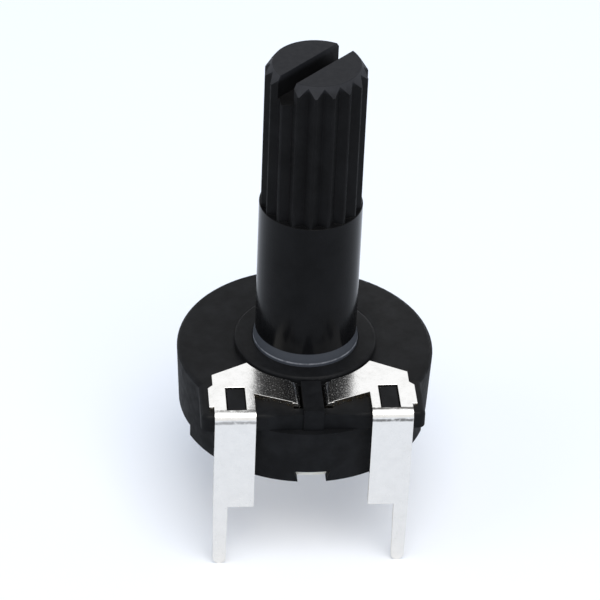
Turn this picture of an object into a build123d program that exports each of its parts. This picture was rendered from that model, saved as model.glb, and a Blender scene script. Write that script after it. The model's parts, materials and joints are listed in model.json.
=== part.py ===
"""Round carbon potentiometer for a circuit board, with a long knurled adjusting shaft.

Units are millimetres. +Z runs up the shaft, and the two end terminals stand towards -Y.
The origin lies on the shaft's axis, in the plane of the board that the shoulders of the
three terminals stand on. Heights named *_z are measured from that plane.
Front angles are in degrees about +Z, counted from -Y towards +X.
"""

from build123d import *
from math import atan2, cos, degrees, radians, sin, sqrt
import os

# ---- driving dimensions -------------------------------------------------------------
# housing: an open cup, turned over, with a tongue for the end terminals
housing_radius = 7.62
housing_rim_radius = 7.45
housing_top_z = 6.4
housing_height = 3.93
top_plate = 1.2
side_wall = 0.85
rim_round = 0.25
boss_radius = 4.22
boss_height = 0.5
tongue_half_width = 6.5
front_flat_depth = 0.52         # from the round wall back to the tongue's straight front
tongue_thickness = 1.05
tongue_corner = 0.4
tongue_round = 0.3
lip_height = 0.72
lip_wall = 0.6
lip_end_angle = 68.0
notch_half_width = 1.08
notch_dovetail = 0.25
rib_half_width = 0.58
rib_height = 0.4
rib_proud = 0.12
rib_tip = 0.25

# rotor: shaft, bearing, flange, stop lug and lower journal, moulded in one
shaft_radius = 3.0
shaft_top_z = 25.75
smooth_top_z = 16.5
bearing_radius = 3.12
bearing_proud = 0.15
bearing_taper = 0.6
knurl_teeth = 18
knurl_crest_radius = 2.93
knurl_root_radius = 2.6
knurl_crest_flat = 2.6          # degrees
knurl_lead_height = 0.62        # the teeth run out to the end on a cone
knurl_lead_reach = 0.43
slot_width = 1.15
slot_depth = 1.4
rotor_angle = 135.0             # front angle of the slot and the stop lug as the part rests
flange_radius = 4.0
flange_thickness = 0.95
lug_reach = 1.3
lug_thickness = 0.75
lug_angle = 12.0
hub_radius = 2.9
lower_journal_radius = 2.2

# rotation: the lug's centre turns between the two stop ribs
travel = 270.0
stop_rib_angle = 3.0
stop_rib_drop = 0.9
stop_rib_gap = 0.4              # from the flange to the inner end of a stop rib
stop_slack = 0.4                # degrees left between lug and rib at the end of the travel

# terminals: tinned brass sheet
sheet = 0.35
bend_inside = 0.15
bend_lap = 0.02                 # how far a bend's straight ends run into the flats
leg_inner = 3.36
leg_outer = 5.74
pin_length = 4.3
pin_width = 0.85
pin_tip_width = 0.76
window_width = 1.15
window_length = 2.15
window_inner = 3.88
window_front = 6.93
plate_bump = 0.28
plate_bump_rear = 4.8
plate_bump_front = 6.55
plate_rear = 3.54
boss_gap = 0.13                 # between the boss and the plates' hollow edges
plate_apex_angle = 56.4
arm_root_front = 5.4
arm_tip_front = 6.45
tab_rear = 4.35
tab_front = 6.35

# resistor and collector
wafer_thickness = 0.8
film = 0.04
track_inner = 4.6
track_outer = 5.8
pad_outer = 6.3
track_end_angle = 33.0
pad_start_angle = 5.0
eyelet_wall = 0.3
eyelet_flange_thickness = 0.2
eyelet_flange_radius = 3.9
collector_plate_radius = 3.7
collector_half_width = 1.2
rear_pin_y = 7.8

# wiper
spring = 0.15
spring_ring_width = 1.05
track_finger_width = 0.9
ring_finger_width = 0.7
finger_lead = 0.6
finger_rise = 0.3
finger_root = 0.6
finger_slope_run = 1.7

# clearances
running = 0.05                  # radial, shaft in its bearings
axial = 0.05                    # rotor flange below the top plate
shoulder_gap = 0.1              # rotor hub above the collector's eyelet
wafer_fit = 0.05
sheet_fit = 0.05                # sheet metal beside moulded plastic
tab_fit = 0.1                   # terminal tabs in their slots
contact_gap = 0.05              # wiper above what it sweeps
post_below_sheet = 0.06

# ---- worked out from them ------------------------------------------------------------
tongue_front = housing_radius - front_flat_depth
top_plate_z = housing_top_z - top_plate
rim_z = housing_top_z - housing_height
lip_z = rim_z - lip_height
wafer_low_z = lip_z
wafer_high_z = wafer_low_z + wafer_thickness
film_z = wafer_high_z + film
cavity_radius = housing_rim_radius - side_wall
wafer_seat_radius = housing_rim_radius - lip_wall
boss_top_z = housing_top_z + boss_height
bore_radius = bearing_radius + running
flange_high_z = top_plate_z - axial
flange_low_z = flange_high_z - flange_thickness
eyelet_bore = lower_journal_radius + running
eyelet_outer = eyelet_bore + eyelet_wall
eyelet_top_z = wafer_high_z + eyelet_flange_thickness
collector_low_z = wafer_low_z - sheet
stop_half_angle = (360 - travel - lug_angle) / 2 - stop_slack
sheet_top_z = housing_top_z + sheet
bend_outside = bend_inside + sheet
leg_back = tongue_front + sheet_fit
leg_front = leg_back + sheet
tab_face = rib_half_width + tab_fit
spring_low_z = flange_low_z - spring
spring_ring_radius = hub_radius + spring_ring_width


# ---- helpers --------------------------------------------------------------------------
def disc(radius, low, high):
    """A round slab about the shaft's axis."""
    return Pos(0, 0, low) * Cylinder(radius, high - low, align=(Align.CENTER, Align.CENTER, Align.MIN))


def ring(inner, outer, low, high):
    """A washer about the shaft's axis."""
    return disc(outer, low, high) - disc(inner, low - 1, high + 1)


def ring_sector(inner, outer, low, high, start, end):
    """Part of a washer between two front angles."""
    section = Plane.XZ * Pos((inner + outer) / 2, (low + high) / 2) * Rectangle(outer - inner, high - low)
    return Rot(0, 0, start - 90) * revolve(section, Axis.Z, revolution_arc=end - start)


def block(x0, x1, y0, y1, z0, z1):
    """A box between two corners."""
    size = Box(x1 - x0, y1 - y0, z1 - z0)
    return Pos((x0 + x1) / 2, (y0 + y1) / 2, (z0 + z1) / 2) * size


def mirrored(shape):
    """The same shape on the other side of the part's middle plane."""
    return mirror(shape, Plane.YZ)


def bent_strip(points, bend_radius, thickness):
    """Section of a bent strip: a path through the points, rounded, with the sheet's thickness."""
    path = FilletPolyline(*points, radius=bend_radius + thickness / 2)
    return trace(path, line_width=thickness)


# ---- housing ---------------------------------------------------------------------------
def cup():
    """The round cup with its rounded upper rim, and the cavity and wafer seat in it."""
    body = Pos(0, 0, rim_z) * Cone(
        housing_rim_radius, housing_radius, housing_height, align=(Align.CENTER, Align.CENTER, Align.MIN)
    )
    body = fillet(body.edges().sort_by(Axis.Z)[-1], rim_round)
    return body


def tongue():
    """The terminal block: a straight-sided plate that carries the two end terminals."""
    half = tongue_half_width
    plate = block(-half, half, -tongue_front, 0, housing_top_z - tongue_thickness, housing_top_z)
    corners = plate.edges().filter_by(Axis.Z).group_by(Axis.Y)[0]
    plate = fillet(corners, tongue_corner)
    top_edges = plate.faces().sort_by(Axis.Z)[-1].edges()
    return fillet(top_edges, tongue_round)


def front_flat():
    """What the cup's rim loses in front, so that it ends in line with the tongue."""
    return block(
        -tongue_half_width,
        tongue_half_width,
        -housing_radius - 1,
        -tongue_front,
        housing_top_z - tongue_thickness,
        housing_top_z + 1,
    )


def lips():
    """Four low walls under the rim, round the wafer, with a dovetailed notch front and back."""
    turn = lip_end_angle
    walls = [
        ring_sector(wafer_seat_radius, housing_rim_radius, lip_z, rim_z, middle - turn, middle + turn)
        for middle in (0, 180)
    ]
    outline = Polyline(
        (-notch_half_width, rim_z),
        (notch_half_width, rim_z),
        (notch_half_width - notch_dovetail, lip_z),
        (-notch_half_width + notch_dovetail, lip_z),
        close=True,
    )
    notch = extrude(Plane.XZ * make_face(outline), housing_radius, both=True)
    return [wall - notch for wall in walls]


def rib():
    """The middle rib between the terminals: along the top, down the front, to a pointed foot."""
    front = tongue_front + rib_proud
    top_z = housing_top_z + rib_height
    foot_z = housing_top_z - tongue_thickness
    along = block(-rib_half_width, rib_half_width, -front, -bore_radius - top_plate, foot_z, top_z)
    outline = Polyline(
        (-rib_half_width, top_z),
        (rib_half_width, top_z),
        (rib_half_width, foot_z),
        (0, foot_z - rib_tip),
        (-rib_half_width, foot_z),
        close=True,
    )
    down = Pos(0, -front, 0) * extrude(Plane.XZ * make_face(outline), -side_wall)
    return along + down


def tab_guide():
    """The rib goes on inside the cup, between the two terminals' tabs, down to the wafer."""
    inner = flange_radius + stop_rib_gap
    half = rib_half_width
    return block(-half, half, -cavity_radius - sheet, -inner, film_z + tab_fit, top_plate_z)


def tab_slots():
    """Two slots beside the rib that let the terminals' tabs down into the cup."""
    slot = block(
        rib_half_width,
        tab_face + sheet + tab_fit,
        -tab_front - tab_fit,
        -tab_rear + tab_fit,
        wafer_high_z,
        housing_top_z + 1,
    )
    return slot + mirrored(slot)


def post():
    """A square post that stands in the right terminal's window."""
    x0 = window_inner + sheet_fit
    x1 = window_inner + window_width - sheet_fit
    y0 = -window_front + sheet_fit
    y1 = -window_front + window_length - sheet_fit
    peg = block(x0, x1, y0, y1, top_plate_z, sheet_top_z - post_below_sheet)
    return chamfer(peg.faces().sort_by(Axis.Z)[-1].edges(), sheet_fit)


def stop_ribs():
    """Two ribs under the top plate that end the rotor's travel."""
    inner = flange_radius + stop_rib_gap
    low = top_plate_z - stop_rib_drop
    right = ring_sector(
        inner, cavity_radius + sheet, low, top_plate_z, stop_half_angle - stop_rib_angle, stop_half_angle
    )
    return right + mirrored(right)


def housing():
    """One moulding: cup, boss, tongue, posts, ribs and lips."""
    boss = disc(boss_radius, housing_top_z - top_plate / 2, boss_top_z)
    boss = fillet(boss.edges().sort_by(Axis.Z)[-1], boss_height / 3)
    body = cup() - front_flat() + tongue() + boss + rib()
    body -= disc(cavity_radius, lip_z, top_plate_z)
    body -= disc(wafer_seat_radius, lip_z, wafer_high_z)
    body += [tab_guide(), stop_ribs(), post(), mirrored(post())]
    body += lips()
    body -= disc(bore_radius, rim_z, boss_top_z + 1)
    return body - tab_slots()


# ---- rotor -----------------------------------------------------------------------------
def knurled_end():
    """The upper shaft: straight V-teeth with narrow flat crests and a chamfered end."""
    pitch = 360 / knurl_teeth
    outline = []
    for tooth in range(knurl_teeth):
        middle = tooth * pitch
        for radius, turn in (
            (knurl_crest_radius, -knurl_crest_flat / 2),
            (knurl_crest_radius, knurl_crest_flat / 2),
            (knurl_root_radius, pitch / 2),
        ):
            angle = radians(middle + turn)
            outline.append((radius * cos(angle), radius * sin(angle)))
    height = shaft_top_z - smooth_top_z
    teeth = extrude(make_face(Polyline(*outline, close=True)), height)
    straight = height - knurl_lead_height
    lead = Pos(0, 0, straight) * Cone(
        knurl_crest_radius,
        knurl_crest_radius - knurl_lead_reach,
        knurl_lead_height,
        align=(Align.CENTER, Align.CENTER, Align.MIN),
    )
    limit = disc(knurl_crest_radius, 0, straight) + lead
    return Pos(0, 0, smooth_top_z) * (teeth & limit)


def rotor():
    """One moulding, from the slotted shaft end down to the lower journal."""
    bearing_top_z = boss_top_z + bearing_proud
    shaft_low_z = bearing_top_z + bearing_taper
    taper = Pos(0, 0, bearing_top_z) * Cone(
        bearing_radius, shaft_radius, bearing_taper, align=(Align.CENTER, Align.CENTER, Align.MIN)
    )
    hub_low_z = eyelet_top_z + shoulder_gap
    half_lug = lug_angle / 2
    body = disc(shaft_radius, shaft_low_z, smooth_top_z)
    body += Rot(0, 0, rotor_angle - 90) * knurled_end()
    body += taper + disc(bearing_radius, flange_high_z, bearing_top_z)
    body += disc(flange_radius, flange_low_z, flange_high_z)
    body += ring_sector(
        hub_radius,
        flange_radius + lug_reach,
        flange_high_z - lug_thickness,
        flange_high_z,
        rotor_angle - half_lug,
        rotor_angle + half_lug,
    )
    body += disc(hub_radius, hub_low_z, flange_low_z)
    body += disc(lower_journal_radius, collector_low_z, hub_low_z)
    half = slot_width / 2
    slot = block(-shaft_radius, shaft_radius, -half, half, shaft_top_z - slot_depth, shaft_top_z + 1)
    return body - Rot(0, 0, rotor_angle - 90) * slot


def finger(radius, width, contact_z):
    """A sprung finger: it leaves the ring, slopes down to its contact and turns up at the tip."""
    top = spring_low_z + spring / 2
    low = contact_z + contact_gap + spring / 2
    section = Plane.YZ * bent_strip(
        [
            (finger_slope_run + finger_root, top),
            (finger_slope_run, top),
            (0, low),
            (-finger_lead, low + finger_rise),
        ],
        spring / 2,
        spring,
    )
    return Pos(radius - width / 2, 0, 0) * extrude(section, width)


def wiper_spring():
    """Bronze spring under the flange: one finger on the track, one on the eyelet's flange."""
    track_middle = (track_inner + track_outer) / 2
    outer_finger = finger(track_middle, track_finger_width, film_z)
    bridge = block(
        hub_radius + spring,
        track_middle + track_finger_width / 2,
        finger_slope_run,
        finger_slope_run + finger_root,
        spring_low_z,
        flange_low_z,
    )
    inner_radius = spring_ring_radius - ring_finger_width / 2
    collector_finger = Rot(0, 0, 180) * Pos(0, -finger_slope_run + spring, 0) * finger(
        inner_radius - spring, ring_finger_width, eyelet_top_z
    )
    plate = ring(hub_radius, spring_ring_radius, spring_low_z, flange_low_z)
    swept = Rot(0, 0, -finger_turn()) * (outer_finger + bridge + collector_finger)
    return Rot(0, 0, rotor_angle - 90) * (plate + swept)


def finger_turn():
    """How far the track finger turns back, so that it is centred on the stop lug."""
    root_angle = atan2(finger_slope_run + finger_root, track_inner)
    tip_angle = atan2(finger_lead, track_inner)
    return degrees(root_angle - tip_angle) / 2


# ---- resistor -----------------------------------------------------------------------------
def wafer():
    """The paper-laminate disc that closes the cup and carries the printed track."""
    return ring(eyelet_outer + wafer_fit, wafer_seat_radius - wafer_fit, wafer_low_z, wafer_high_z)


def carbon_track():
    """The printed carbon arc."""
    return ring_sector(
        track_inner, track_outer, wafer_high_z, film_z, track_end_angle, 360 - track_end_angle
    )


def right_end_pad():
    """The printed silver pad where the track ends, under the right terminal's tab."""
    return ring_sector(
        tab_rear, pad_outer, wafer_high_z, film_z, pad_start_angle, track_end_angle
    )


# ---- terminals ----------------------------------------------------------------------------
def pin_outline(inner, outer, top_z, board_z, tip_z):
    """Front view of a leg: wide down to the board, then a narrow pin with a round tip."""
    pin_inner = outer - pin_width
    taper = (pin_width - pin_tip_width) / 2
    tip_radius = pin_tip_width / 2
    round_z = tip_z + tip_radius
    tip_middle = outer - pin_width / 2
    sides = Polyline(
        (pin_inner + taper, round_z),
        (pin_inner, board_z),
        (inner, board_z),
        (inner, top_z),
        (outer, top_z),
        (outer, board_z),
        (outer - taper, round_z),
    )
    tip = ThreePointArc((outer - taper, round_z), (tip_middle, tip_z), (pin_inner + taper, round_z))
    return make_face(Wire([*sides.edges(), *tip.edges()]))


def plate_outline():
    """Plan view of the right terminal on the tongue, with its arm towards the rib."""
    hug = boss_radius + boss_gap
    apex = radians(plate_apex_angle)
    flat_end = tab_face + bend_outside
    bend_start = leg_front - bend_outside
    arm_start = (flat_end, -sqrt(hug**2 - flat_end**2))
    arm_apex = (hug * sin(apex), -hug * cos(apex))
    middle = radians(plate_apex_angle * 0.6)
    arm_middle = (hug * sin(middle), -hug * cos(middle))
    hugging = ThreePointArc(arm_start, arm_middle, arm_apex)
    slope = (arm_tip_front - arm_root_front) / (leg_inner - tab_face)
    arm_front = arm_tip_front - slope * bend_outside
    sides = Polyline(
        arm_apex,
        (leg_outer, -plate_rear),
        (leg_outer, -plate_bump_rear + plate_bump),
        (leg_outer + plate_bump, -plate_bump_rear),
        (leg_outer + plate_bump, -plate_bump_front),
        (leg_outer, -plate_bump_front),
        (leg_outer, -bend_start),
        (leg_inner, -bend_start),
        (leg_inner, -arm_root_front),
        (flat_end, -arm_front),
        arm_start,
    )
    return make_face(Wire([*hugging.edges(), *sides.edges()]))


def right_terminal():
    """One bent sheet: plate with a window, leg and pin down the front, tab down to its pad."""
    flat = Pos(0, 0, housing_top_z) * extrude(plate_outline(), sheet)
    window = block(
        window_inner,
        window_inner + window_width,
        -window_front,
        -window_front + window_length,
        housing_top_z - 1,
        sheet_top_z + 1,
    )
    middle_z = housing_top_z + sheet / 2
    bend_end_z = sheet_top_z - bend_outside
    # the bend over the tongue's front edge
    leg_line = leg_back + sheet / 2
    corner = bent_strip(
        [
            (-leg_front + bend_outside + bend_lap, middle_z),
            (-leg_line, middle_z),
            (-leg_line, bend_end_z - bend_lap),
        ],
        bend_inside,
        sheet,
    )
    leg_bend = Pos(leg_inner, 0, 0) * extrude(Plane.YZ * corner, leg_outer - leg_inner)
    leg_face = pin_outline(leg_inner, leg_outer, bend_end_z, 0, -pin_length)
    leg = Pos(0, -leg_back, 0) * extrude(Plane.XZ * leg_face, sheet)
    # the bend into the slot beside the rib, and the tab down to the silver pad
    tab_line = tab_face + sheet / 2
    fold = bent_strip(
        [(tab_face + bend_outside + bend_lap, middle_z), (tab_line, middle_z), (tab_line, film_z)],
        bend_inside,
        sheet,
    )
    tab = Pos(0, -tab_rear, 0) * extrude(Plane.XZ * fold, tab_front - tab_rear)
    return flat - window + leg_bend + leg + tab


def collector_terminal():
    """Eyelet through the wafer, plate and strip under it, and the rear leg and pin."""
    barrel = ring(eyelet_bore, eyelet_outer, collector_low_z, eyelet_top_z)
    flange = ring(eyelet_bore, eyelet_flange_radius, wafer_high_z, eyelet_top_z)
    plate = ring(eyelet_bore, collector_plate_radius, collector_low_z, wafer_low_z)
    middle_z = wafer_low_z - sheet / 2
    corner = bent_strip(
        [(eyelet_outer + sheet, middle_z), (rear_pin_y, middle_z), (rear_pin_y, 0)], bend_inside, sheet
    )
    strip = Pos(-collector_half_width, 0, 0) * extrude(Plane.YZ * corner, 2 * collector_half_width)
    round_z = -pin_length + pin_tip_width / 2
    sides = Polyline(
        (-pin_tip_width / 2, round_z),
        (-pin_width / 2, 0),
        (pin_width / 2, 0),
        (pin_tip_width / 2, round_z),
    )
    tip = ThreePointArc((pin_tip_width / 2, round_z), (0, -pin_length), (-pin_tip_width / 2, round_z))
    pin_face = make_face(Wire([*sides.edges(), *tip.edges()]))
    pin = Pos(0, rear_pin_y + sheet / 2, 0) * extrude(Plane.XZ * pin_face, sheet)
    return barrel + flange + plate + strip + pin


# ---- build -----------------------------------------------------------------------------------
def main():
    """Write one STEP file for each piece."""
    pieces = {
        "housing": housing(),
        "rotor_shaft": rotor(),
        "wiper_spring": wiper_spring(),
        "resistor_wafer": wafer(),
        "carbon_track": carbon_track(),
        "left_end_pad": mirrored(right_end_pad()),
        "right_end_pad": right_end_pad(),
        "left_terminal": mirrored(right_terminal()),
        "right_terminal": right_terminal(),
        "collector_terminal": collector_terminal(),
    }
    os.makedirs("parts", exist_ok=True)
    for node, shape in pieces.items():
        export_step(shape, f"parts/{node}.step")


main()
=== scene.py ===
"""Looks of a round board-mounted potentiometer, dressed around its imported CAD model.

Metres, in the row frame: +Z up the shaft, the two end terminals towards -Y.
"""

import json
from math import cos, radians, sin

import bmesh
import bpy
import numpy as np
from mathutils import Matrix, Vector

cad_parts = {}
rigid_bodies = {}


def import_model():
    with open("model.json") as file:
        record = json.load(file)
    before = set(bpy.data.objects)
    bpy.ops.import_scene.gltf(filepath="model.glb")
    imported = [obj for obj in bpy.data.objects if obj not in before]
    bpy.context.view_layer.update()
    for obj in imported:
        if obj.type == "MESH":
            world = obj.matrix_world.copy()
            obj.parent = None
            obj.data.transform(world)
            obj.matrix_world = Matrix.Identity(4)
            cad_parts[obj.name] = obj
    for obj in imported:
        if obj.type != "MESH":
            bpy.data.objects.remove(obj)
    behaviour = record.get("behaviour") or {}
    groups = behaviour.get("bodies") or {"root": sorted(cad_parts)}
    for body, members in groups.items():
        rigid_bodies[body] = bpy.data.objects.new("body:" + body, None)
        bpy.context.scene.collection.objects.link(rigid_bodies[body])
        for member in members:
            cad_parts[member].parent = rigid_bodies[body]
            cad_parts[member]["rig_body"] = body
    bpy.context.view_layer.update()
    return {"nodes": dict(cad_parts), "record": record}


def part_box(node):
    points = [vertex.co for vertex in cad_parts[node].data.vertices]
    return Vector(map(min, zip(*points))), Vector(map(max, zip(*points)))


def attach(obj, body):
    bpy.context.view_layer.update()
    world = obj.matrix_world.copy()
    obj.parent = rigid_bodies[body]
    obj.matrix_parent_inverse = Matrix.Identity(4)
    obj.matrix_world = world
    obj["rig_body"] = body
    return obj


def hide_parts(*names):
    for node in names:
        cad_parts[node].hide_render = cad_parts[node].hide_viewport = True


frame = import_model()
nodes = frame["nodes"]

MM = 0.001
PER_MM = 1000.0                      # pattern scales are given per millimetre

# ---- places taken from the frame ---------------------------------------------------------
plate_low, plate_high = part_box("right_terminal")
wafer_top_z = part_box("resistor_wafer")[1].z
shaft_top_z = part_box("rotor_shaft")[1].z
mounts = {m["name"]: m for m in frame["record"]["mounts"]}
shaft_middle_z = mounts["shaft"]["pos_m"][2]
shaft_half_length = mounts["shaft"]["dims"]["length_mm"] * MM / 2
knurl_foot_z = shaft_middle_z + shaft_half_length
shaft_foot_z = shaft_middle_z - shaft_half_length
boss_z = mounts["boss_face"]["pos_m"][2]
floor_z = plate_low.z                # the pins' tips stand on the floor
leg_front_y = plate_low.y
sheet = 0.35 * MM                    # thickness of the terminals' sheet
bend = 0.5 * MM                      # how far the terminals' bend reaches from their outer faces
face_z = plate_high.z - sheet        # the housing's top face, under the plates

# ---- plain numbers -------------------------------------------------------------------------
MERGE_REACH = 0.0005 * MM            # corner points nearer than this are one point
FLAT_DEG = 0.3                       # faces that meet flatter than this are joined
CORNER_DEG = 35.0                    # edges sharper than this are eased
EASE_STEPS = 3
FLOOR_REACH = 3.0                    # half the side of the floor, in metres
FLOOR_POINTS = 9                     # grid points along a side of the floor
LAMP_COLOUR = (1.0, 0.965, 0.91)
PLASTIC_IOR = 1.5


# ---- node building -------------------------------------------------------------------------
class Finish:
    """One node material: short calls that add a node, link its inputs and give its output."""

    def __init__(self, name):
        self.material = bpy.data.materials.new(name)
        self.material.use_nodes = True
        self.tree = self.material.node_tree
        self.shader = self.tree.nodes["Principled BSDF"]
        self.place = self.add("ShaderNodeTexCoord").outputs["Object"]
        self.facing = self.place.node.outputs["Normal"]

    def add(self, kind, **settings):
        """A node of this kind with its settings made."""
        node = self.tree.nodes.new(kind)
        for key, value in settings.items():
            setattr(node, key, value)
        return node

    def feed(self, socket, value):
        """Links an output into a socket, or sets a plain value on it."""
        if isinstance(value, bpy.types.NodeSocket):
            self.tree.links.new(value, socket)
        else:
            socket.default_value = value

    def sum(self, kind, first, second=0.0, clamp=False):
        """One arithmetic step, such as MULTIPLY or GREATER_THAN."""
        node = self.add("ShaderNodeMath", operation=kind, use_clamp=clamp)
        self.feed(node.inputs[0], first)
        self.feed(node.inputs[1], second)
        return node.outputs[0]

    def parts(self, vector):
        """The X, Y and Z of a place or direction."""
        node = self.add("ShaderNodeSeparateXYZ")
        self.feed(node.inputs[0], vector)
        return node.outputs

    def stretched(self, scale):
        """Object place scaled apart along X, Y and Z, for streaks."""
        node = self.add("ShaderNodeMapping", vector_type="TEXTURE")
        self.feed(node.inputs["Vector"], self.place)
        node.inputs["Scale"].default_value = scale
        return node.outputs[0]

    def cloud(self, per_mm, detail=4.0, rough=0.55, place=None, warp=0.0):
        """Soft noise, about 0.5 on average, with this many blobs in a millimetre."""
        node = self.add("ShaderNodeTexNoise")
        self.feed(node.inputs["Vector"], place or self.place)
        node.inputs["Scale"].default_value = per_mm * PER_MM
        node.inputs["Detail"].default_value = detail
        node.inputs["Roughness"].default_value = rough
        node.inputs["Distortion"].default_value = warp
        return node.outputs["Fac"]

    def ramp(self, value, low, high, from_=0.0, to=1.0):
        """Maps low..high to from_..to along a soft curve, held at both ends."""
        node = self.add("ShaderNodeMapRange", interpolation_type="SMOOTHSTEP")
        self.feed(node.inputs["Value"], value)
        node.inputs["From Min"].default_value = low
        node.inputs["From Max"].default_value = high
        node.inputs["To Min"].default_value = from_
        node.inputs["To Max"].default_value = to
        return node.outputs["Result"]

    def mix(self, share, first, second):
        """Colour mix: first at 0, second at 1."""
        node = self.add("ShaderNodeMix", data_type="RGBA")
        self.feed(node.inputs[0], share)
        self.feed(node.inputs[6], first if not isinstance(first, tuple) else (*first, 1.0))
        self.feed(node.inputs[7], second if not isinstance(second, tuple) else (*second, 1.0))
        return node.outputs[2]

    def specks(self, per_mm, size, share):
        """Sparse round specks: 1 inside, where the cell's random number is under share."""
        node = self.add("ShaderNodeTexVoronoi", feature="F1")
        self.feed(node.inputs["Vector"], self.place)
        node.inputs["Scale"].default_value = per_mm * PER_MM
        near = self.ramp(node.outputs["Distance"], size * 0.6, size, 1.0, 0.0)
        chosen = self.sum("LESS_THAN", self.parts(node.outputs["Color"])[0], share)
        return self.sum("MULTIPLY", near, chosen)

    def bump(self, height, depth_mm, before=None):
        """Relief of this depth, laid over any relief before it."""
        node = self.add("ShaderNodeBump")
        node.inputs["Strength"].default_value = 1.0
        node.inputs["Distance"].default_value = depth_mm * MM
        self.feed(node.inputs["Height"], height)
        if before is not None:
            self.feed(node.inputs["Normal"], before)
        return node.outputs[0]

    def set(self, **values):
        """Links or sets the shader's own sockets."""
        for key, value in values.items():
            socket = self.shader.inputs[key.replace("_", " ")]
            self.feed(socket, (*value, 1.0) if isinstance(value, tuple) and len(value) == 3 else value)
        return self.material


# ---- finishes --------------------------------------------------------------------------------
def housing_finish():
    """Satin black moulding: faint clouding, skin texture, dust specks and duller side walls."""
    f = Finish("housing_black")
    base = (0.0062, 0.0064, 0.0069)
    paler = tuple(1.7 * c for c in base)
    clouds = f.cloud(0.8, 5.0, 0.6)
    skin = f.cloud(9.0, 3.0, 0.6)
    grain = f.cloud(30.0, 2.0, 0.5)
    colour = f.mix(f.ramp(clouds, 0.35, 0.7), base, paler)
    dust = f.specks(0.55, 0.05, 0.1)
    colour = f.mix(dust, colour, (0.32, 0.31, 0.3))
    rough = f.ramp(f.cloud(2.2, 4.0, 0.6), 0.3, 0.7, 0.36, 0.48)
    side = f.ramp(f.sum("ABSOLUTE", f.parts(f.facing)[2]), 0.3, 0.8, 0.2, 0.0)
    rough = f.sum("ADD", rough, f.sum("ADD", side, f.sum("MULTIPLY", dust, 0.4)), clamp=True)
    relief = f.bump(skin, 0.004)
    relief = f.bump(grain, 0.0015, relief)
    return f.set(Base_Color=colour, Roughness=rough, Normal=relief, Specular_IOR_Level=0.06, IOR=PLASTIC_IOR)


def shaft_finish():
    """Black: glossy on the smooth part, matter on the teeth and the foot, paler at the end; painted light: a
    paler foot, a pale ring above the boss and paler lead facets.
    """
    f = Finish("shaft_black")
    z = f.parts(f.place)[2]
    teeth = f.ramp(z, knurl_foot_z - 0.02 * MM, knurl_foot_z + 0.02 * MM)
    foot = f.ramp(z, shaft_foot_z - 0.05 * MM, shaft_foot_z + 0.02 * MM, 1.0, 0.0)
    end = f.ramp(z, shaft_top_z - 0.5 * MM, shaft_top_z - 0.1 * MM)
    clouds = f.cloud(0.6, 5.0, 0.6)
    streaks = f.cloud(2.0, 4.0, 0.6, f.stretched((1.0, 1.0, 14.0)))
    grain = f.cloud(22.0, 3.0, 0.6)
    colour = f.mix(f.ramp(clouds, 0.3, 0.7), (0.0034, 0.0034, 0.0036), (0.006, 0.006, 0.0064))
    # painted sheen: the foot band is painted a paler grey for the light it catches
    colour = f.mix(foot, colour, (0.058, 0.062, 0.07))
    colour = f.mix(f.sum("MULTIPLY", end, 0.6), colour, (0.026, 0.0265, 0.0295))
    # painted highlight: a thin pale ring on the shaft just above the boss, broken up by the streaks
    ring = f.sum("ABSOLUTE", f.sum("SUBTRACT", z, boss_z + 0.17 * MM))
    painted_highlight_ring = f.ramp(ring, 0.02 * MM, 0.07 * MM, 1.0, 0.0)
    colour = f.mix(f.sum("MULTIPLY", painted_highlight_ring, f.ramp(streaks, 0.35, 0.6, 0.2, 0.9)), colour, (0.3, 0.3, 0.31))
    # painted highlight: facets of the lead cone that face partly upwards are painted paler
    nz = f.parts(f.facing)[2]
    lead_facet_highlight = f.sum("MULTIPLY", f.ramp(nz, 0.4, 0.5), f.ramp(nz, 0.65, 0.75, 1.0, 0.0))
    lead_facet_highlight = f.sum("MULTIPLY", lead_facet_highlight, f.ramp(z, shaft_top_z - 0.9 * MM, shaft_top_z - 0.7 * MM))
    lead_facet_highlight = f.sum("MULTIPLY", lead_facet_highlight, f.ramp(clouds, 0.35, 0.65, 0.5, 1.0))
    colour = f.mix(lead_facet_highlight, colour, (0.032, 0.032, 0.034))
    dust = f.specks(0.45, 0.06, 0.17)
    colour = f.mix(dust, colour, (0.38, 0.36, 0.33))
    rough = f.ramp(streaks, 0.3, 0.7, 0.13, 0.2)
    matter = f.ramp(f.cloud(3.0, 4.0, 0.6), 0.3, 0.7, 0.46, 0.6)
    blend = f.sum("MAXIMUM", teeth, foot)
    rough = f.sum("ADD", rough, f.sum("MULTIPLY", blend, f.sum("SUBTRACT", matter, rough)))
    relief = f.bump(grain, 0.0012)
    relief = f.bump(streaks, 0.003, relief)
    return f.set(Base_Color=colour, Roughness=rough, Normal=relief, Specular_IOR_Level=0.07, IOR=PLASTIC_IOR)


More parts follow.
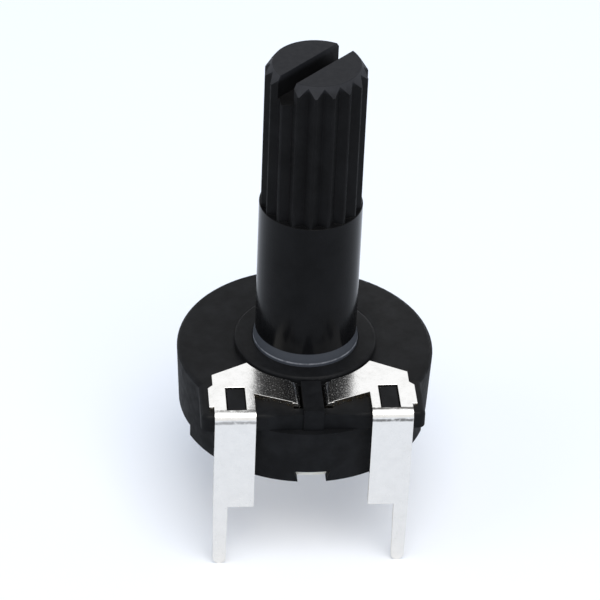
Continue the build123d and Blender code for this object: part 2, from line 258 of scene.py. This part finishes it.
def tin_finish(name):
    """Tin plate on brass: mottled faces, painted dark reflections at the bend, painted shade on the legs,
    dull arms and bare cut edges.
    """
    f = Finish(name)
    x, y, z = f.parts(f.place)[:3]
    nx, ny, nz = (f.sum("ABSOLUTE", n) for n in f.parts(f.facing)[:3])
    mottle = f.cloud(1.6, 6.0, 0.62)
    pits = f.cloud(11.0, 4.0, 0.7)
    stains = f.cloud(0.55, 5.0, 0.65, warp=0.4)
    wander = f.cloud(1.2, 3.0, 0.5)
    # cut edges: faces that stand across the sheet
    leg = f.ramp(y, leg_front_y + sheet, leg_front_y + bend + 0.05 * MM, 1.0, 0.0)
    across = f.sum("MAXIMUM", nz, f.sum("MULTIPLY", ny, leg))
    cut = f.ramp(across, 0.25, 0.5, 1.0, 0.0)
    # painted reflection: dark lines where the sheet bends over the edge, stronger on the right terminal
    stray = f.sum("MULTIPLY", f.sum("SUBTRACT", wander, 0.5), 0.2 * MM)
    rear_line = f.sum("ABSOLUTE", f.sum("SUBTRACT", f.sum("ADD", y, stray), leg_front_y + bend))
    front_line = f.sum("ABSOLUTE", f.sum("SUBTRACT", f.sum("ADD", z, stray), plate_high.z - bend))
    front_line = f.sum("ADD", front_line, f.ramp(leg, 0.3, 0.9, MM, 0.0))
    broken = f.ramp(f.cloud(3.2, 4.0, 0.7), 0.34, 0.52, 0.25, 1.0)
    dark_bend_reflection = f.sum("MAXIMUM", f.ramp(rear_line, 0.05 * MM, 0.14 * MM, 1.0, 0.0),
                   f.ramp(front_line, 0.04 * MM, 0.15 * MM, 0.9, 0.0))
    dark_bend_reflection = f.sum("MULTIPLY", dark_bend_reflection, f.sum("MULTIPLY", broken, f.ramp(x, -2.0 * MM, 2.0 * MM, 0.7, 1.0)))
    plate = f.mix(f.ramp(mottle, 0.4, 0.75), (0.97, 0.97, 0.965), (0.86, 0.86, 0.85))
    # painted shade: the legs below the bend are a darker tin than the plate tops
    shaded_leg_tin = f.mix(f.ramp(mottle, 0.3, 0.8), (0.76, 0.742, 0.712), (0.71, 0.695, 0.668))
    on_leg = f.sum("MULTIPLY", leg, f.ramp(z, plate_high.z - bend, plate_high.z, 1.0, 0.0))
    tin = f.mix(on_leg, plate, shaded_leg_tin)
    tin = f.mix(f.sum("MULTIPLY", f.ramp(stains, 0.58, 0.75), 0.3), tin, (0.6, 0.57, 0.52))
    tin = f.mix(f.specks(1.6, 0.05, 0.07), tin, (0.16, 0.14, 0.12))
    # painted reflection: the dark bend lines laid over the tin
    tin = f.mix(f.sum("MULTIPLY", dark_bend_reflection, 0.92), tin, (0.085, 0.08, 0.076))
    bare = f.mix(f.ramp(f.cloud(4.0, 4.0, 0.6), 0.36, 0.55), (0.62, 0.5, 0.33), (0.74, 0.72, 0.68))
    colour = f.mix(cut, tin, bare)
    rough = f.ramp(pits, 0.45, 0.8, 0.1, 0.42)
    rough = f.sum("ADD", rough, f.ramp(mottle, 0.5, 0.85, 0.0, 0.1), clamp=True)
    # the arms that run down into the housing are rubbed dull
    arm = f.sum("MULTIPLY", f.ramp(z, plate_high.z - 0.8 * MM, plate_high.z - 0.45 * MM, 1.0, 0.0),
                f.ramp(y, leg_front_y + MM, leg_front_y + 1.5 * MM))
    rough = f.sum("ADD", rough, f.sum("MULTIPLY", arm, f.ramp(pits, 0.3, 0.7, 0.25, 0.5)), clamp=True)
    relief = f.bump(mottle, 0.006)
    relief = f.bump(pits, 0.003, relief)
    return f.set(Base_Color=colour, Metallic=1.0, Roughness=rough, Normal=relief)


def laminate_finish():
    """Cream paper laminate: fibre clouds, paler cut edge with a tan upper fringe."""
    f = Finish("laminate_cream")
    z = f.parts(f.place)[2]
    nz = f.sum("ABSOLUTE", f.parts(f.facing)[2])
    fibre = f.cloud(3.0, 6.0, 0.7, f.stretched((1.0, 3.0, 1.0)))
    face = f.mix(f.ramp(fibre, 0.3, 0.7), (0.62, 0.45, 0.25), (0.72, 0.56, 0.36))
    edge = f.mix(f.ramp(fibre, 0.3, 0.7), (0.86, 0.8, 0.66), (0.95, 0.9, 0.8))
    fringe = f.ramp(z, wafer_top_z - 0.16 * MM, wafer_top_z - 0.06 * MM)
    edge = f.mix(fringe, edge, (0.55, 0.38, 0.2))
    colour = f.mix(f.ramp(nz, 0.4, 0.7), edge, face)
    rough = f.ramp(fibre, 0.3, 0.7, 0.5, 0.68)
    return f.set(Base_Color=colour, Roughness=rough, Normal=f.bump(fibre, 0.012), Specular_IOR_Level=0.4)


def film_finish(name, light, dark, gloss, metal):
    """A screen-printed film: fine particle grain, and a slightly uneven colour."""
    f = Finish(name)
    grain = f.cloud(14.0, 4.0, 0.6)
    uneven = f.cloud(1.5, 4.0, 0.6)
    colour = f.mix(f.ramp(uneven, 0.3, 0.7), dark, light)
    colour = f.mix(f.ramp(grain, 0.55, 0.75, 0.0, 0.5), colour, dark)
    rough = f.ramp(grain, 0.3, 0.7, gloss - 0.06, gloss + 0.1)
    return f.set(Base_Color=colour, Metallic=metal, Roughness=rough, Normal=f.bump(grain, 0.004))


def bronze_finish():
    """Rolled phosphor bronze: rolling streaks and handling marks."""
    f = Finish("spring_bronze")
    streaks = f.cloud(3.0, 4.0, 0.6, f.stretched((1.0, 10.0, 1.0)))
    marks = f.cloud(1.4, 5.0, 0.65)
    colour = f.mix(f.ramp(marks, 0.35, 0.7), (0.72, 0.47, 0.25), (0.58, 0.36, 0.19))
    rough = f.ramp(streaks, 0.3, 0.7, 0.2, 0.36)
    return f.set(Base_Color=colour, Metallic=1.0, Roughness=rough, Normal=f.bump(streaks, 0.003))


# ---- pieces ------------------------------------------------------------------------------------
def eased_copy(node, name, width_mm):
    """The node's own shape with its sharp corners eased: merged, flat faces joined, then bevelled."""
    old = nodes[node]
    mesh = bpy.data.meshes.new(name)
    work = bmesh.new()
    work.from_mesh(old.data)
    bmesh.ops.remove_doubles(work, verts=work.verts, dist=MERGE_REACH)
    bmesh.ops.dissolve_limit(
        work, angle_limit=radians(FLAT_DEG), verts=work.verts, edges=work.edges,
        use_dissolve_boundaries=False,
    )
    for face in work.faces:
        face.smooth = True
    for edge in work.edges:
        edge.smooth = len(edge.link_faces) == 2 and edge.calc_face_angle(0.0) < radians(CORNER_DEG)
    work.to_mesh(mesh)
    work.free()
    piece = bpy.data.objects.new(name, mesh)
    bpy.context.scene.collection.objects.link(piece)
    ease = piece.modifiers.new("eased corners", "BEVEL")
    ease.width = width_mm * MM
    ease.segments = EASE_STEPS
    ease.limit_method = "ANGLE"
    ease.angle_limit = radians(CORNER_DEG)
    ease.use_clamp_overlap = True
    ease.harden_normals = True
    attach(piece, old["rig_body"])
    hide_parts(node)
    return piece


def dress(piece, material):
    """Gives a piece its one material."""
    piece.data.materials.clear()
    piece.data.materials.append(material)


tin = tin_finish("tin_plate")
dress(eased_copy("housing", "housing_moulding", 0.05), housing_finish())
dress(eased_copy("rotor_shaft", "shaft_moulding", 0.04), shaft_finish())
dress(eased_copy("left_terminal", "left_terminal_sheet", 0.09), tin)
dress(eased_copy("right_terminal", "right_terminal_sheet", 0.09), tin)
dress(nodes["collector_terminal"], tin)
dress(nodes["resistor_wafer"], laminate_finish())
carbon = film_finish("carbon_print", (0.022, 0.022, 0.024), (0.01, 0.01, 0.011), 0.42, 0.0)
dress(nodes["carbon_track"], carbon)
silver = film_finish("silver_print", (0.66, 0.66, 0.64), (0.5, 0.5, 0.49), 0.45, 0.6)
dress(nodes["left_end_pad"], silver)
dress(nodes["right_end_pad"], silver)
dress(nodes["wiper_spring"], bronze_finish())


# ---- studio --------------------------------------------------------------------------------------
def studio_floor():
    """A wide pale sheet: a flat square grid of points at the height of the pins' tips."""
    side = np.linspace(-1.0, 1.0, FLOOR_POINTS) * FLOOR_REACH
    gx, gy = np.meshgrid(side, side)
    points = np.stack([gx.ravel(), gy.ravel(), np.full(gx.size, floor_z)], 1)
    n = side.size
    i = (np.arange(n - 1)[:, None] * n + np.arange(n - 1)).ravel()
    faces = np.stack([i, i + 1, i + n + 1, i + n], 1)
    mesh = bpy.data.meshes.new("studio_floor")
    mesh.from_pydata(points.tolist(), [], faces.tolist())
    floor = bpy.data.objects.new("studio_floor", mesh)
    bpy.context.scene.collection.objects.link(floor)
    f = Finish("floor_paper")
    paper = f.cloud(0.02, 3.0, 0.5)
    colour = f.mix(f.ramp(paper, 0.3, 0.7), (0.785, 0.795, 0.81), (0.8, 0.81, 0.825))
    f.set(Base_Color=colour, Roughness=0.9, Specular_IOR_Level=0.1)
    rays = f.add("ShaderNodeLightPath").outputs
    seen = f.sum("ADD", rays["Is Camera Ray"], rays["Is Glossy Ray"])
    seen = f.sum("ADD", seen, rays["Is Transmission Ray"], clamp=True)
    f.shader.inputs["Emission Color"].default_value = (0.97, 0.985, 1.0, 1.0)
    f.feed(f.shader.inputs["Emission Strength"], f.sum("MULTIPLY", seen, 0.12))
    mesh.materials.append(f.material)


def studio_light():
    """A bright room, a large soft lamp above and a weaker one at the left."""
    world = bpy.data.worlds.new("studio")
    bpy.context.scene.world = world
    world.use_nodes = True
    tree = world.node_tree
    back = tree.nodes["Background"]
    rays = tree.nodes.new("ShaderNodeLightPath").outputs
    share = tree.nodes.new("ShaderNodeMath")
    share.operation = "MAXIMUM"
    through = tree.nodes.new("ShaderNodeMath")
    through.operation = "MAXIMUM"
    tree.links.new(rays["Is Glossy Ray"], through.inputs[0])
    tree.links.new(rays["Is Transmission Ray"], through.inputs[1])
    tree.links.new(rays["Is Camera Ray"], share.inputs[0])
    tree.links.new(through.outputs[0], share.inputs[1])
    tint = tree.nodes.new("ShaderNodeMix")
    tint.data_type = "RGBA"
    tint.inputs[6].default_value = (0.46, 0.55, 0.70, 1.0)
    tint.inputs[7].default_value = (1.0, 1.0, 1.0, 1.0)
    tree.links.new(share.outputs[0], tint.inputs[0])
    tree.links.new(tint.outputs[2], back.inputs["Color"])
    for name, place, size, watts in (
        ("lamp_above", (0.04, -0.16, 0.42), 0.36, 1.5),
        ("lamp_left", (-0.38, -0.12, 0.3), 0.3, 0.3),
    ):
        lamp = bpy.data.lights.new(name, "AREA")
        lamp.shape = "DISK"
        lamp.size = size
        lamp.energy = watts
        lamp.color = LAMP_COLOUR
        holder = bpy.data.objects.new(name, lamp)
        holder.location = place
        holder.rotation_euler = (-Vector(place)).to_track_quat("-Z", "Y").to_euler()
        bpy.context.scene.collection.objects.link(holder)


def camera():
    """The view: a distance back from the housing's top face, turned, tilted and rolled a little."""
    distance = 180.0 * MM
    tilt, turn, roll = radians(35.7), radians(-5.7), radians(2.41)
    aside, up = -0.29 * MM, 2.49 * MM
    back = Vector((sin(turn) * cos(tilt), -cos(turn) * cos(tilt), sin(tilt)))
    right = Vector((0, 0, 1)).cross(back).normalized()
    over = back.cross(right)
    right, over = cos(roll) * right + sin(roll) * over, cos(roll) * over - sin(roll) * right
    place = Vector((0, 0, face_z)) + back * distance + right * aside + over * up
    lens = bpy.data.cameras.new("view")
    lens.sensor_width = 36.0
    lens.lens = 181.61
    lens.clip_start = 0.01
    lens.clip_end = 20.0
    holder = bpy.data.objects.new("view", lens)
    holder.matrix_world = Matrix.Translation(place) @ Matrix((right, over, back)).transposed().to_4x4()
    bpy.context.scene.collection.objects.link(holder)
    bpy.context.scene.camera = holder


studio_floor()
studio_light()
camera()
bpy.context.scene.view_settings.view_transform = "Standard"
